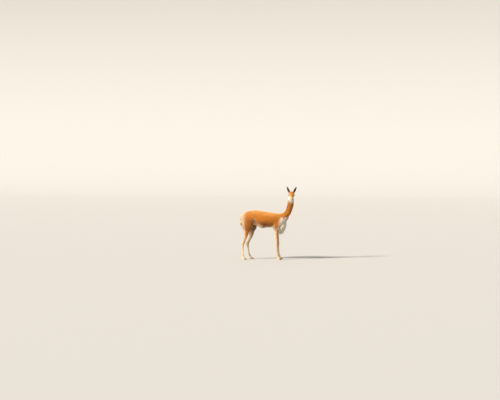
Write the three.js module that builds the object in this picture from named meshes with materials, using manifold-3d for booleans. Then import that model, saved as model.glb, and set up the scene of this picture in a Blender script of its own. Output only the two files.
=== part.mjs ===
// A life-size vicuna that stands side-on and turns its head to its own right, in millimetres.
// X runs forward along the body, Y to its left and Z up, and its feet stand on Z = 0.
import * as THREE from "three";
import { LoftGeometry } from "three/addons/geometries/LoftGeometry.js";
import { mergeVertices } from "three/addons/utils/BufferGeometryUtils.js";
import Module from "manifold-3d";

const wasm = await Module();
wasm.setup();

// Driving sizes, with the coat on
const CROUP = 905; // height of the back over the hips
const BACK = 876; // height of the back over the belly
const WITHERS = 850; // height of the back over the shoulders
const BELLY = 584; // height of the belly under its hair
const GIRTH = 590; // height of the chest floor between the forelegs
const BARREL = 136; // half width of the barrel
const CHEST = 740; // height where the bib leaves the chest
const NECK = 122; // thickness of the neck in the side view
const HOCK = 285; // height of the hind leg's hock
const KNEE = 300; // height of the foreleg's knee
const FETLOCK = 78; // height of the fetlocks
const STANCE = 84; // sideways distance of each foot from the middle
const HEAD_LENGTH = 208;
const HEAD_HALF_WIDTH = 56;
const EYE_RADIUS = 16.5;
const EAR_LENGTH = 118;
const GAP = 0.35; // clearance between parts that touch

// Pose
const HEAD_TURN = THREE.MathUtils.degToRad(-84); // about Z, to the right
const HEAD_DROP = THREE.MathUtils.degToRad(26); // nose below the level
const POLL = new THREE.Vector3(943, 14, 1213); // back end of the head's own X axis
const FAR_HIND_STRIDE = 112; // how far the foot stands in front of its leg's place at rest
const FAR_FORE_STRIDE = 6;

const COLOURS = {
  fawn: 0xd0893c,
  cream: 0xf3ddb4,
  tail: 0xe6bf86,
  leg: 0xe3c193,
  ear: 0x9a6a3c,
  eye: 0x1a0f0a,
  nail: 0x3a2e28,
};

const UP = new THREE.Vector3(0, 0, 1);
const at = (x, z, y = 0) => new THREE.Vector3(x, y, z);

// A rib is an oval between two edge points. half is its half width along Y, and wide is how far up
// from low to top it is widest.
const rib = (top, low, half, wide = 0.5) => ({ top, low, half, wide });

const signedPower = (value, power) => Math.sign(value) * Math.abs(value) ** power;

// Curves through the ribs' edges, widths and widest heights
function skinOf(ribs) {
  return {
    tops: new THREE.CatmullRomCurve3(ribs.map((r) => r.top)),
    lows: new THREE.CatmullRomCurve3(ribs.map((r) => r.low)),
    widths: new THREE.CatmullRomCurve3(ribs.map((r) => new THREE.Vector3(r.half, r.wide, 0))),
  };
}

// The point at share t along a skin and angle turn round it, from the left side over the top
function skinPoint(skin, t, turn, { grow = 0, size = 1, power = 0.92 } = {}) {
  const top = skin.tops.getPoint(t);
  const low = skin.lows.getPoint(t);
  const { x: half, y: wide } = skin.widths.getPoint(t);
  const rise = new THREE.Vector3().subVectors(top, low);
  const outward = rise.clone().normalize().multiplyScalar(grow);
  const middle = low.clone().addScaledVector(rise, wide);
  const reach = Math.sin(turn) > 0 ? top.add(outward).sub(middle) : middle.clone().sub(low.sub(outward));
  const across = new THREE.Vector3(0, half + grow, 0);
  return middle
    .addScaledVector(across, size * signedPower(Math.cos(turn), power))
    .addScaledVector(reach, size * signedPower(Math.sin(turn), power));
}

// Rings of the dome at each end of a loft, down to the point at its middle
const DOME = [60, 28, 0].map(THREE.MathUtils.degToRad);
const LOW_DOME = [50, 0].map(THREE.MathUtils.degToRad);

// A closed loft through the ribs, with a dome of the given depth at each end
function loft(ribs, { sides, steps, domes, rings = DOME, grow = 0 }) {
  const skin = skinOf(ribs);
  const rows = (ribs.length - 1) * steps;
  const ring = (t, size, slide) =>
    Array.from({ length: sides }, (_, side) =>
      skinPoint(skin, t, (side / sides) * 2 * Math.PI, { grow, size }).add(slide),
    );
  const middle = (t) => skin.tops.getPoint(t).add(skin.lows.getPoint(t)).multiplyScalar(0.5);
  const still = new THREE.Vector3();
  const sections = [];
  for (let row = 0; row <= rows; row++) sections.push(ring(row / rows, 1, still));
  const near = 0.5 / rows;
  for (const [end, inner, depth] of [[0, near, domes[0]], [1, 1 - near, domes[1]]]) {
    const out = middle(end).sub(middle(inner)).normalize();
    for (const angle of rings) {
      const slide = out.clone().multiplyScalar((depth + grow) * Math.cos(angle));
      const section = ring(end, Math.sin(angle), slide);
      end ? sections.push(section) : sections.unshift(section);
    }
  }
  return solidOf(new LoftGeometry(sections));
}

// A three.js geometry as a solid, with its faces outwards whichever way it was wound
function solidOf(geometry) {
  const bare = new THREE.BufferGeometry();
  bare.setAttribute("position", geometry.attributes.position);
  bare.setIndex(geometry.index);
  const merged = mergeVertices(bare, 1e-4);
  const corners = Array.from(merged.index.array);
  const triangles = [];
  for (let i = 0; i < corners.length; i += 3) {
    const [a, b, c] = corners.slice(i, i + 3);
    if (a !== b && b !== c && c !== a) triangles.push([a, b, c]);
  }
  const wound = (turned) =>
    new wasm.Manifold(
      new wasm.Mesh({
        numProp: 3,
        vertProperties: merged.attributes.position.array,
        triVerts: new Uint32Array(triangles.flatMap(([a, b, c]) => (turned ? [a, c, b] : [a, b, c]))),
      }),
    );
  const made = wound(false);
  return made.volume() > 0 ? made : wound(true);
}

// The largest closed surface of a solid, without scraps and sealed hollows
const largest = (solid) => solid.decompose().sort((a, b) => b.volume() - a.volume())[0];

const joined = (solids) => solids.reduce((all, one) => all.add(one));

const placed = (solid, matrix) => solid.transform(matrix.elements);

// Everything on the far side of a plane from its normal
function below(point, normal) {
  const size = 4000;
  const box = new THREE.BoxGeometry(size, size, size);
  box.translate(0, 0, -size / 2);
  box.applyQuaternion(new THREE.Quaternion().setFromUnitVectors(UP, normal.clone().normalize()));
  box.translate(point.x, point.y, point.z);
  return solidOf(box);
}

// The two sides of a cut, GAP apart: the side below its normal comes first
function sides({ point, normal }) {
  const step = normal.clone().normalize().multiplyScalar(GAP / 2);
  return [below(point.clone().sub(step), normal), below(point.clone().add(step), normal.clone().negate())];
}

const parted = (solid, cut) => sides(cut).map((side) => largest(solid.intersect(side)));

const levelCut = (height) => ({ point: at(0, height), normal: UP });

// Steady chance: numbers from 0 to 1 that are the same on every run
function chanceFrom(seed) {
  let state = seed;
  return () => {
    state = (state * 16807) % 2147483647;
    return state / 2147483647;
  };
}

// A point of a skin with the way out of it and the way that hair lies there, which is lean laid
// flat on the skin
function hairRoot(skin, t, turn, lean) {
  const step = 0.004;
  const point = skinPoint(skin, t, turn);
  const along = skinPoint(skin, t + step, turn).sub(skinPoint(skin, t - step, turn));
  const round = skinPoint(skin, t, turn + step).sub(skinPoint(skin, t, turn - step));
  const out = along.cross(round).normalize();
  const centre = skin.tops.getPoint(t).add(skin.lows.getPoint(t)).multiplyScalar(0.5);
  if (out.dot(point.clone().sub(centre)) < 0) out.negate();
  return { point, out, fall: lean.clone().addScaledVector(out, -lean.dot(out)).normalize() };
}

// A lock of hair: a flat tapered tuft of four sides whose root is sunk in what carries it
function lock({ point, out, fall }, { length, width, thick, sink = 8, lift = 0.06 }) {
  const path = new THREE.QuadraticBezierCurve3(
    point.clone().addScaledVector(out, -sink),
    point.clone().addScaledVector(fall, length * 0.4).addScaledVector(out, thick * 0.5 + length * lift),
    point.clone().addScaledVector(fall, length).addScaledVector(out, length * lift),
  );
  const across = out.clone().cross(fall).normalize();
  const ring = ([share, size]) => {
    const centre = path.getPoint(share);
    const flat = across.clone().cross(path.getTangent(share)).normalize();
    return [0, 1, 2, 3].map((corner) =>
      centre
        .clone()
        .addScaledVector(across, (size * width * Math.cos((corner * Math.PI) / 2)) / 2)
        .addScaledVector(flat, (size * thick * Math.sin((corner * Math.PI) / 2)) / 2),
    );
  };
  return solidOf(new LoftGeometry(LOCK_SHAPE.map(ring)));
}
const LOCK_SHAPE = [[0, 0], [0, 0.7], [0.42, 1], [0.76, 0.66], [1, 0]]; // share of length, size

// Rows of locks over a skin. Each row has its place along the skin and the turns it runs between.
function locksOver(skin, rows, size, { seed, lean }) {
  const chance = chanceFrom(seed);
  const vary = (amount) => 1 + amount * (2 * chance() - 1);
  return rows.flatMap(({ t, from, to, count, scale = 1 }, row) =>
    Array.from({ length: count }, (_, column) => {
      const place = (column + 0.5 + 0.25 * (row % 2 ? 1 : -1) + 0.2 * (chance() - 0.5)) / count;
      const root = hairRoot(skin, t * vary(0.02), THREE.MathUtils.degToRad(from + (to - from) * place), lean);
      const length = size.length * scale * vary(0.12);
      const swing = root.fall.clone().cross(root.out).multiplyScalar(0.16 * (chance() - 0.5));
      root.fall.add(swing).normalize();
      return lock(root, { ...size, length, width: size.width * vary(0.15) });
    }),
  );
}

// Trunk and neck in one run of ribs, from the rump to inside the head
const neckRib = (x, z, lean, thick, half, y) => {
  const across = THREE.MathUtils.degToRad(lean);
  return rib(at(x, z, y), at(x + thick * Math.cos(across), z - thick * Math.sin(across), y), half);
};
const trunkRibs = [
  rib(at(33, CROUP - 88), at(30, BELLY + 96), 64),
  rib(at(66, CROUP - 54), at(62, BELLY + 46), 95),
  rib(at(120, CROUP - 26), at(122, BELLY + 32), 115, 0.52),
  rib(at(205, CROUP - 6), at(210, BELLY + 40), 125, 0.5),
  rib(at(310, CROUP - 1), at(318, BELLY + 32), 128, 0.48),
  rib(at(420, BACK + 12), at(422, BELLY - 4), BARREL + 2, 0.45),
  rib(at(520, BACK), at(515, BELLY - 6), BARREL + 2, 0.44),
  rib(at(612, WITHERS + 10), at(602, GIRTH - 8), BARREL - 9, 0.46),
  rib(at(690, WITHERS), at(694, GIRTH - 2), BARREL - 23, 0.46),
  rib(at(748, WITHERS), at(800, GIRTH + 66), BARREL - 40, 0.48),
  rib(at(792, WITHERS + 14), at(868, GIRTH + 160), BARREL - 59, 0.5),
  neckRib(826, WITHERS + 46, 30, NECK + 2, 62, 0),
  neckRib(847, WITHERS + 96, 23, NECK, 55, -3),
  neckRib(864, WITHERS + 151, 16, NECK, 52, -9),
  neckRib(875, WITHERS + 211, 12, NECK - 3, 50, -16),
  neckRib(879, WITHERS + 272, 10, NECK - 8, 49, -22),
  neckRib(887, WITHERS + 318, 10, NECK - 25, 38, -26),
];
const TRUNK = { sides: 24, steps: 2, domes: [22, 16] };
const NECK_BASE = { point: at(830, WITHERS - 40), normal: new THREE.Vector3(0.74, 0, 0.67) };
const SHOULDER_CUT = { point: at(600, WITHERS), normal: new THREE.Vector3(1, 0, 0) };
const BIB_EDGE = { point: at(708, GIRTH), normal: new THREE.Vector3(0.91, 0, -0.42) };

// Legs: front and rear edges of each rib, as seen from the right
const hindRibs = (y, shift) => {
  const edge = (front, rear, z, half, inset, rearZ = z) => {
    const side = y * inset;
    return rib(at(front + shift(z), z, side), at(rear + shift(rearZ), rearZ, side), half);
  };
  return [
    edge(205, 92, 778, 42, 0.74),
    edge(250, 58, 728, 54, 0.82),
    edge(258, 46, 660, 58, 0.88),
    edge(232, 54, 592, 51, 0.95),
    edge(190, 76, 516, 39, 1, 508),
    edge(148, 75, 414, 27, 1, 408),
    edge(112, 48, HOCK + 52, 22, 1, HOCK + 44),
    edge(93, 26, HOCK, 21, 1, HOCK + 10),
    edge(81, 34, HOCK - 42, 19, 1),
    edge(76, 44, HOCK - 85, 15, 1),
    edge(73, 46, HOCK - 160, 14.5, 1),
    edge(80, 42, FETLOCK, 19, 1, FETLOCK - 4),
    edge(98, 58, 50, 18, 1, 38),
  ];
};
const foreRibs = (y, shift) => {
  const edge = (front, rear, z, half, inset, rearZ = z) => {
    const side = y * inset;
    return rib(at(front + shift(z), z, side), at(rear + shift(rearZ), rearZ, side), half);
  };
  return [
    edge(725, 652, 728, 34, 0.76),
    edge(729, 628, 672, 42, 0.84),
    edge(721, 614, 604, 42, 0.92),
    edge(709, 622, 552, 34, 0.98, 548),
    edge(704, 636, 462, 26, 1, 456),
    edge(706, 645, KNEE + 78, 21.5, 1, KNEE + 74),
    edge(711, 652, KNEE + 4, 22.5, 1),
    edge(710, 660, KNEE - 44, 19.5, 1),
    edge(708, 673, KNEE - 88, 15, 1),
    edge(713, 684, KNEE - 170, 14.5, 1),
    edge(721, 682, FETLOCK, 19, 1, FETLOCK - 4),
    edge(739, 699, 50, 18, 1, 38),
  ];
};
const LEG = { sides: 12, steps: 2, domes: [24, 8], rings: LOW_DOME };
const LEG_CLEARANCE = 3; // between a leg and the hair in front of it

// Heights of a leg, and the share of its foot's stride that the leg has moved forward there
const SWING = [[760, 0], [560, 0.62], [420, 0.7], [HOCK, 0.58], [0, 1]];

// How far forward a leg's ribs lie at each height, for a foot that stands stride further forward
const swing = (stride) => (z) => {
  for (let i = 1; i < SWING.length; i++) {
    const [[high, above], [low, under]] = [SWING[i - 1], SWING[i]];
    if (z >= low) {
      const way = THREE.MathUtils.clamp((high - z) / (high - low), 0, 1);
      return stride * THREE.MathUtils.lerp(above, under, way);
    }
  }
  return stride;
};

// Foot: two toes side by side on flat pads, each with a nail in front
const TOE_LENGTH = 58;
const toeRibs = (x, y) => [
  rib(at(x - 24, 25, y), at(x - 24, -6, y), 12.5),
  rib(at(x - 6, 40, y), at(x - 6, -8, y), 14.5),
  rib(at(x + 16, 34, y), at(x + 16, -8, y), 14),
  rib(at(x + TOE_LENGTH - 24, 22, y), at(x + TOE_LENGTH - 24, -5, y), 11),
];
const nailRibs = (x, y) => [
  rib(at(x + TOE_LENGTH - 34, 27, y), at(x + TOE_LENGTH - 34, 5, y), 10.5),
  rib(at(x + TOE_LENGTH - 20, 21, y), at(x + TOE_LENGTH - 20, 3, y), 9.5),
  rib(at(x + TOE_LENGTH - 8, 10, y), at(x + TOE_LENGTH - 8, 2, y), 5),
];
const TOE = { sides: 8, steps: 1, domes: [6, 7], rings: LOW_DOME };
const NAIL = { sides: 8, steps: 1, domes: [1, 2], rings: LOW_DOME };
const TOE_SPLAY = 13.5;
const FOOT_TOP = FETLOCK - 14;
const floor = below(at(0, 0), UP);

// Upper leg, lower leg, foot and two nails, and the swollen leg that its neighbours are cut by
function makeLeg(name, ribsOf, side, stride, jointHeight, toeX) {
  const y = side * STANCE;
  const ribs = ribsOf(y, swing(stride));
  const whole = loft(ribs, LEG);
  const [shank, upper] = parted(whole, levelCut(jointHeight));
  const [pastern, lower] = parted(shank, levelCut(FOOT_TOP));
  const x = toeX + stride;
  let foot = pastern;
  const nails = [];
  for (const [toeName, toeSide] of [["inner", -side], ["outer", side]]) {
    const toeY = y + toeSide * TOE_SPLAY;
    foot = foot.add(loft(toeRibs(x, toeY), TOE));
    nails.push([`${name}_nail_${toeName}`, loft(nailRibs(x, toeY), NAIL)]);
  }
  foot = largest(foot.intersect(sides(levelCut(FOOT_TOP))[0]).subtract(floor));
  const swollenToes = [-1, 1].map((s) => loft(toeRibs(x, y + s * TOE_SPLAY), { ...TOE, grow: GAP }));
  const parts = [
    [`${name}_upper`, upper, "fawn"],
    [`${name}_lower`, lower, "leg"],
    [`${name}_foot`, foot, "leg"],
    ...nails.map(([nailName, nail]) => [
      nailName,
      largest(nail.subtract(joined(swollenToes)).subtract(floor)),
      "nail",
    ]),
  ];
  const grown = (grow) => loft(ribs, { ...LEG, grow });
  return { parts, swollen: grown(GAP), wide: grown(LEG_CLEARANCE) };
}

// Tail: a short brush that hangs against the rump
const tailRib = (x, z, thick, half) => rib(at(x - thick, z), at(x + thick, z - 4), half);
const tailRibs = [
  rib(at(66, CROUP - 56), at(58, CROUP - 90), 20),
  rib(at(38, CROUP - 72), at(45, CROUP - 106), 27),
  tailRib(28, CROUP - 130, 19, 33),
  tailRib(25, CROUP - 190, 19, 35),
  tailRib(30, CROUP - 240, 15, 29),
  tailRib(38, CROUP - 278, 8, 15),
];
const TAIL = { sides: 12, steps: 1, domes: [4, 10] };

// Head, in its own frame: X from the back of the head to the nose, Z up
const headRibs = [
  rib(at(6, 34), at(4, -32), 34),
  rib(at(30, 51), at(28, -50), HEAD_HALF_WIDTH - 5, 0.48),
  rib(at(58, 56), at(60, -54), HEAD_HALF_WIDTH, 0.5),
  rib(at(86, 50), at(90, -49), HEAD_HALF_WIDTH - 3, 0.54),
  rib(at(112, 38), at(116, -42), HEAD_HALF_WIDTH - 15, 0.5),
  rib(at(138, 28), at(140, -36), HEAD_HALF_WIDTH - 25, 0.46),
  rib(at(164, 22), at(162, -31), HEAD_HALF_WIDTH - 30, 0.44),
  rib(at(186, 19), at(182, -27), HEAD_HALF_WIDTH - 31, 0.44),
  rib(at(HEAD_LENGTH - 10, 11), at(HEAD_LENGTH - 14, -21), HEAD_HALF_WIDTH - 37, 0.44),
];
const HEAD = { sides: 28, steps: 2, domes: [12, 9] };
const EYE = at(92, 9, HEAD_HALF_WIDTH - 18);
const EYE_FACING = THREE.MathUtils.degToRad(60); // from straight ahead towards the side
const LID = 2.8; // thickness
const MOUTH_DEPTH = 4;

const headPlace = new THREE.Matrix4()
  .makeTranslation(POLL)
  .multiply(new THREE.Matrix4().makeRotationZ(HEAD_TURN))
  .multiply(new THREE.Matrix4().makeRotationY(HEAD_DROP));

const ball = (centre, radius, rings) => {
  const geometry = new THREE.SphereGeometry(radius, rings * 2, rings);
  geometry.rotateX(Math.PI / 2);
  geometry.translate(centre.x, centre.y, centre.z);
  return solidOf(geometry);
};

// The almond between the lids, run outwards from the middle of the eye
function almond(side) {
  const half = 16;
  const outline = new THREE.Shape();
  outline.moveTo(-half, -3);
  outline.quadraticCurveTo(-2, 27, half, 3);
  outline.quadraticCurveTo(4, -23, -half, -3);
  const run = { depth: 40, bevelEnabled: false, curveSegments: 5 };
  const geometry = new THREE.ExtrudeGeometry(outline, run);
  geometry.rotateX(Math.PI / 2);
  geometry.rotateZ(Math.PI);
  geometry.rotateZ(EYE_FACING - Math.PI / 2);
  if (side < 0) geometry.scale(1, -1, 1);
  geometry.translate(EYE.x, side * EYE.y, EYE.z);
  return solidOf(geometry);
}

// A thin sheet across the muzzle that follows the line of the mouth
function mouthSheet() {
  const line = [at(HEAD_LENGTH + 20, -6), at(HEAD_LENGTH - 6, -9), at(HEAD_LENGTH - 24, -14), at(152, -15)];
  const path = new THREE.CatmullRomCurve3(line).getPoints(7);
  const outline = new THREE.Shape();
  const thick = 0.9;
  outline.moveTo(path[0].x, path[0].z + thick);
  for (const point of path.slice(1)) outline.lineTo(point.x, point.z + thick);
  for (const point of path.toReversed()) outline.lineTo(point.x, point.z - thick);
  const geometry = new THREE.ExtrudeGeometry(outline, { depth: 120, bevelEnabled: false });
  geometry.rotateX(Math.PI / 2);
  geometry.translate(0, 60, 0);
  return solidOf(geometry);
}

// The split of the upper lip, from the mouth up to the nostrils
function lipSplit() {
  const geometry = new THREE.BoxGeometry(40, 1.6, 16);
  geometry.translate(HEAD_LENGTH, 0, 0);
  return solidOf(geometry);
}

function nostril(side) {
  const geometry = new THREE.SphereGeometry(1, 8, 6);
  geometry.scale(8, 2.4, 3.6);
  geometry.rotateZ(-side * 0.75);
  geometry.rotateY(-0.5);
  geometry.translate(HEAD_LENGTH - 7, side * 13, 5);
  return solidOf(geometry);
}

function makeHead() {
  let head = loft(headRibs, HEAD);
  const deep = loft(headRibs, { ...HEAD, grow: -MOUTH_DEPTH });
  for (const side of [-1, 1]) {
    const centre = new THREE.Vector3(EYE.x, side * EYE.y, EYE.z);
    head = head.add(ball(centre, EYE_RADIUS + LID, 8));
  }
  for (const side of [-1, 1]) {
    const centre = new THREE.Vector3(EYE.x, side * EYE.y, EYE.z);
    head = head.subtract(almond(side));
    head = head.subtract(ball(centre, EYE_RADIUS + GAP, 8));
    head = head.subtract(nostril(side));
  }
  head = head.subtract(mouthSheet().subtract(deep));
  head = head.subtract(lipSplit().subtract(deep));
  return placed(largest(head), headPlace);
}

const makeEye = (side) =>
  placed(ball(new THREE.Vector3(EYE.x, side * EYE.y, EYE.z), EYE_RADIUS, 8), headPlace);

// Ear, in its own frame: Z up along it, its cup open towards X. Each leaf has its share of the
// ear's length, its half width and its half depth.
const EAR_LEAVES = [
  [0, 13, 12],
  [0.18, 17.5, 15],
  [0.4, 21, 13.5],
  [0.64, 18, 10],
  [0.85, 10.5, 6],
  [0.97, 3.6, 3],
];
const earRibs = EAR_LEAVES.map(([share, half, deep]) =>
  rib(at(deep, EAR_LENGTH * share), at(-deep, EAR_LENGTH * share), half),
);
const cupRibs = EAR_LEAVES.slice(1).map(([share, half, deep]) =>
  rib(at(deep * 2.6, EAR_LENGTH * share + 4), at(-deep * 0.62, EAR_LENGTH * share + 4), half * 0.84, 0.35),
);
const EAR = { sides: 12, steps: 2, domes: [4, 3], rings: LOW_DOME };
const CUP = { sides: 12, steps: 2, domes: [14, 1], rings: LOW_DOME };
const EAR_ROOT = at(30, 28, HEAD_HALF_WIDTH - 19);
const EAR_SPLAY = { right: 24, left: 28 };
const EAR_RISE = 0.72; // share of the head's drop that the ears stand up again
const EAR_TWIST = 0.45; // how far the cups turn outwards

function makeEar(side, splay) {
  const place = new THREE.Matrix4()
    .makeTranslation(EAR_ROOT.x, side * EAR_ROOT.y, EAR_ROOT.z)
    .multiply(new THREE.Matrix4().makeRotationX(-side * THREE.MathUtils.degToRad(splay)))
    .multiply(new THREE.Matrix4().makeRotationY(HEAD_DROP * -EAR_RISE))
    .multiply(new THREE.Matrix4().makeRotationZ(side * EAR_TWIST));
  const leaf = loft(earRibs, EAR).subtract(loft(cupRibs, CUP));
  const ear = placed(leaf, place).subtract(loft(headRibs, { ...HEAD, grow: GAP }));
  return placed(largest(ear), headPlace);
}

// Legs, each with the side that it is on, its stride and where its toes start
const legs = [
  makeLeg("hind_right", hindRibs, -1, 0, HOCK - 20, 74),
  makeLeg("hind_left", hindRibs, 1, FAR_HIND_STRIDE, HOCK - 20, 74),
  makeLeg("fore_right", foreRibs, -1, 0, KNEE - 24, 714),
  makeLeg("fore_left", foreRibs, 1, FAR_FORE_STRIDE, KNEE - 24, 714),
];
const swollenLegs = joined(legs.map((leg) => leg.swollen));

const trunk = loft(trunkRibs, TRUNK);
const swollenTrunk = loft(trunkRibs, { ...TRUNK, grow: GAP });
const [body, neckAndTop] = parted(trunk, NECK_BASE);
const swollenHead = placed(loft(headRibs, { ...HEAD, grow: GAP }), headPlace);
const [torsoCore, forequarter] = parted(body.subtract(swollenLegs), SHOULDER_CUT);
const [chest, bibCore] = parted(forequarter, BIB_EDGE);

// Bib: long white hair that hangs from the chest, in front of the forelegs, in locks on a core
const bibRibs = [
  rib(at(858, CHEST + 40), at(798, CHEST + 40), 58, 0.4),
  rib(at(850, CHEST - 20), at(766, CHEST - 20), 80, 0.38),
  rib(at(836, CHEST - 95), at(732, CHEST - 95), 86, 0.36),
  rib(at(812, CHEST - 150), at(716, CHEST - 150), 70, 0.36),
  rib(at(782, CHEST - 192), at(716, CHEST - 192), 42, 0.4),
];
const BIB = { sides: 12, steps: 1, domes: [6, 10], rings: LOW_DOME };
const BIB_LOCK = { length: 122, width: 44, thick: 12 };
const throatRows = [
  { t: 0.632, from: 232, to: 308, count: 4, scale: 0.8 },
  { t: 0.6, from: 216, to: 324, count: 5, scale: 0.9 },
];
const bibRows = [
  { t: 0.42, from: -5, to: 185, count: 7 },
  { t: 0.64, from: -40, to: 220, count: 8 },
  { t: 0.88, from: 0, to: 360, count: 10 },
];
const hairClear = joined(legs.map((leg) => leg.wide));
const [underNeck] = sides(NECK_BASE);
const [, beforeChest] = sides(BIB_EDGE);
const chestClear = swollenTrunk.subtract(beforeChest);
const hanging = { seed: 11, lean: new THREE.Vector3(-0.06, 0, -1) };
const bibLocks = [
  ...locksOver(skinOf(trunkRibs), throatRows, BIB_LOCK, hanging),
  ...locksOver(skinOf(bibRibs), bibRows, BIB_LOCK, hanging),
];
const bibHair = joined([loft(bibRibs, BIB), ...bibLocks]);
const bibShape = bibHair.subtract(hairClear).subtract(chestClear).intersect(underNeck);
const bib = largest(bibCore.add(bibShape));

// Fringe of pale hair along the lower flanks and the belly
const FRINGE_LOCK = { length: 66, width: 30, thick: 8 };
const fringeRows = [0.24, 0.29, 0.34, 0.39].flatMap((t) => [
  { t, from: 212, to: 244, count: 2 },
  { t, from: 296, to: 328, count: 2 },
]);
const sweptBack = { seed: 5, lean: new THREE.Vector3(-0.7, 0, -1) };
const fringe = locksOver(skinOf(trunkRibs), fringeRows, FRINGE_LOCK, sweptBack);
const torso = largest(torsoCore.add(joined(fringe).subtract(hairClear)));

// Tail: a brush of locks
const TAIL_LOCK = { length: 72, width: 30, thick: 9 };
const tailRows = [
  { t: 0.3, from: 75, to: 285, count: 3 },
  { t: 0.52, from: 60, to: 300, count: 4 },
  { t: 0.74, from: 50, to: 310, count: 4 },
  { t: 0.93, from: 20, to: 340, count: 4 },
];
const straightDown = { seed: 3, lean: new THREE.Vector3(0.05, 0, -1) };
const tailLocks = locksOver(skinOf(tailRibs), tailRows, TAIL_LOCK, straightDown);
const tailHair = joined([loft(tailRibs, TAIL), ...tailLocks]);
const tail = largest(tailHair.subtract(swollenTrunk).subtract(hairClear));

const nodes = [
  ["torso", torso, "fawn"],
  ["chest", chest, "fawn"],
  ["bib", bib, "cream"],
  ["neck", largest(neckAndTop.subtract(swollenHead)), "fawn"],
  ["head", makeHead(), "fawn"],
  ["eye_right", makeEye(-1), "eye"],
  ["eye_left", makeEye(1), "eye"],
  ["ear_right", makeEar(-1, EAR_SPLAY.right), "ear"],
  ["ear_left", makeEar(1, EAR_SPLAY.left), "ear"],
  ["tail", tail, "tail"],
  ...legs.flatMap((leg) => leg.parts),
];

function meshOf([name, solid, colour]) {
  const { vertProperties, triVerts } = solid.getMesh();
  const geometry = new THREE.BufferGeometry();
  geometry.setAttribute("position", new THREE.BufferAttribute(vertProperties, 3));
  geometry.setIndex(new THREE.BufferAttribute(triVerts, 1));
  geometry.computeVertexNormals();
  const material = new THREE.MeshStandardMaterial({ color: COLOURS[colour], roughness: 0.9, metalness: 0 });
  const mesh = new THREE.Mesh(geometry, material);
  mesh.name = name;
  return mesh;
}

// The frame's origin is on the floor, under the middle of the whole animal.
const vicuna = new THREE.Group();
vicuna.add(...nodes.map(meshOf));
const box = new THREE.Box3().setFromObject(vicuna);
const centre = box.getCenter(new THREE.Vector3());
vicuna.position.set(-centre.x, -centre.y, -box.min.z);

export default vicuna;
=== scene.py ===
import math
import time

import bmesh
import bpy
import numpy as np
from mathutils import Matrix, Vector
from mathutils.bvhtree import BVHTree
from mathutils.kdtree import KDTree


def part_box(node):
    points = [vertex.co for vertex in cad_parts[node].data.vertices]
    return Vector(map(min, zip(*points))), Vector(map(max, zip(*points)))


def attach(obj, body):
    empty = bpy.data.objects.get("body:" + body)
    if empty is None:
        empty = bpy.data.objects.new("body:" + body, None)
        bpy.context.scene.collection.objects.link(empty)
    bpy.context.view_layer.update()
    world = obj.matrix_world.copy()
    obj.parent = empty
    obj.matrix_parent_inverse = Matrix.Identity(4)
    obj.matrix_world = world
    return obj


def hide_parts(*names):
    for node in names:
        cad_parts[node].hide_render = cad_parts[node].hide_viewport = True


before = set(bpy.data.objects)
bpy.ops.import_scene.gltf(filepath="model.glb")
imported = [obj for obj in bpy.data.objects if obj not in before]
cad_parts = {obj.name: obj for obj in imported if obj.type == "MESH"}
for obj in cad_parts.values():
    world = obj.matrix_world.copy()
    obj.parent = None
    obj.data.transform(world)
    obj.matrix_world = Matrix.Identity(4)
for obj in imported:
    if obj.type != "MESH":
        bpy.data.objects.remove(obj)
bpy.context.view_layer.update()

MM = 0.001
rng = np.random.default_rng(29)

# Driving sizes in millimetres, the same as in the part's source
CROUP, BACK, WITHERS = 905, 876, 850
BELLY, GIRTH, BARREL, CHEST = 584, 590, 136, 740
NECK, HOCK, KNEE, FETLOCK, STANCE = 122, 285, 300, 78, 84
HEAD_LENGTH, HEAD_HALF_WIDTH = 208, 56
EYE_RADIUS, EAR_LENGTH = 16.5, 118
HEAD_TURN, HEAD_DROP = math.radians(-84), math.radians(26)
POLL = (943, 14, 1213)
FAR_HIND_STRIDE, FAR_FORE_STRIDE = 112, 6


# Lofts through ribs
def rib(top, low, half, wide=0.5):
    return np.array(top, float), np.array(low, float), half, wide


def at(x, z, y=0.0):
    return (x, y, z)


def catmull(points, shares):
    """Centripetal Catmull-Rom values at shares of the way through the points."""
    points = np.asarray(points, float)
    last = len(points) - 1
    place = np.asarray(shares) * last
    i = np.clip(np.floor(place).astype(int), 0, last - 1)
    w = (place - i)[:, None]
    padded = np.vstack([2 * points[0] - points[1], points, 2 * points[-1] - points[-2]])
    p0, p1, p2, p3 = (padded[i + k] for k in range(4))
    gap = lambda a, b: np.maximum(np.sqrt(np.linalg.norm(a - b, axis=1)), 1e-4)[:, None]
    d0, d1, d2 = gap(p0, p1), gap(p1, p2), gap(p2, p3)
    m1 = ((p1 - p0) / d0 - (p2 - p0) / (d0 + d1) + (p2 - p1) / d1) * d1
    m2 = ((p2 - p1) / d1 - (p3 - p1) / (d1 + d2) + (p3 - p2) / d2) * d1
    c2 = -3 * p1 + 3 * p2 - 2 * m1 - m2
    c3 = 2 * p1 - 2 * p2 + m1 + m2
    return p1 + m1 * w + c2 * w**2 + c3 * w**3


def skin_points(ribs, shares, turns, grow=0.0, size=1.0, power=0.92):
    """Points of a loft's surface at shares along it and turns round it, both arrays of one length."""
    tops = catmull([r[0] for r in ribs], shares)
    lows = catmull([r[1] for r in ribs], shares)
    half, wide = catmull([(r[2], r[3], 0) for r in ribs], shares)[:, :2].T
    rise = tops - lows
    outward = rise / np.linalg.norm(rise, axis=1)[:, None] * np.reshape(grow, (-1, 1))
    middle = lows + rise * wide[:, None]
    up, side = np.sin(turns), np.cos(turns)
    reach = np.where((up > 0)[:, None], tops + outward - middle, middle - lows + outward)
    across = np.zeros_like(middle)
    across[:, 1] = half + grow
    bent = lambda v: (np.sign(v) * np.abs(v) ** power * size)[:, None]
    return middle + across * bent(side) + reach * bent(up)


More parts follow.
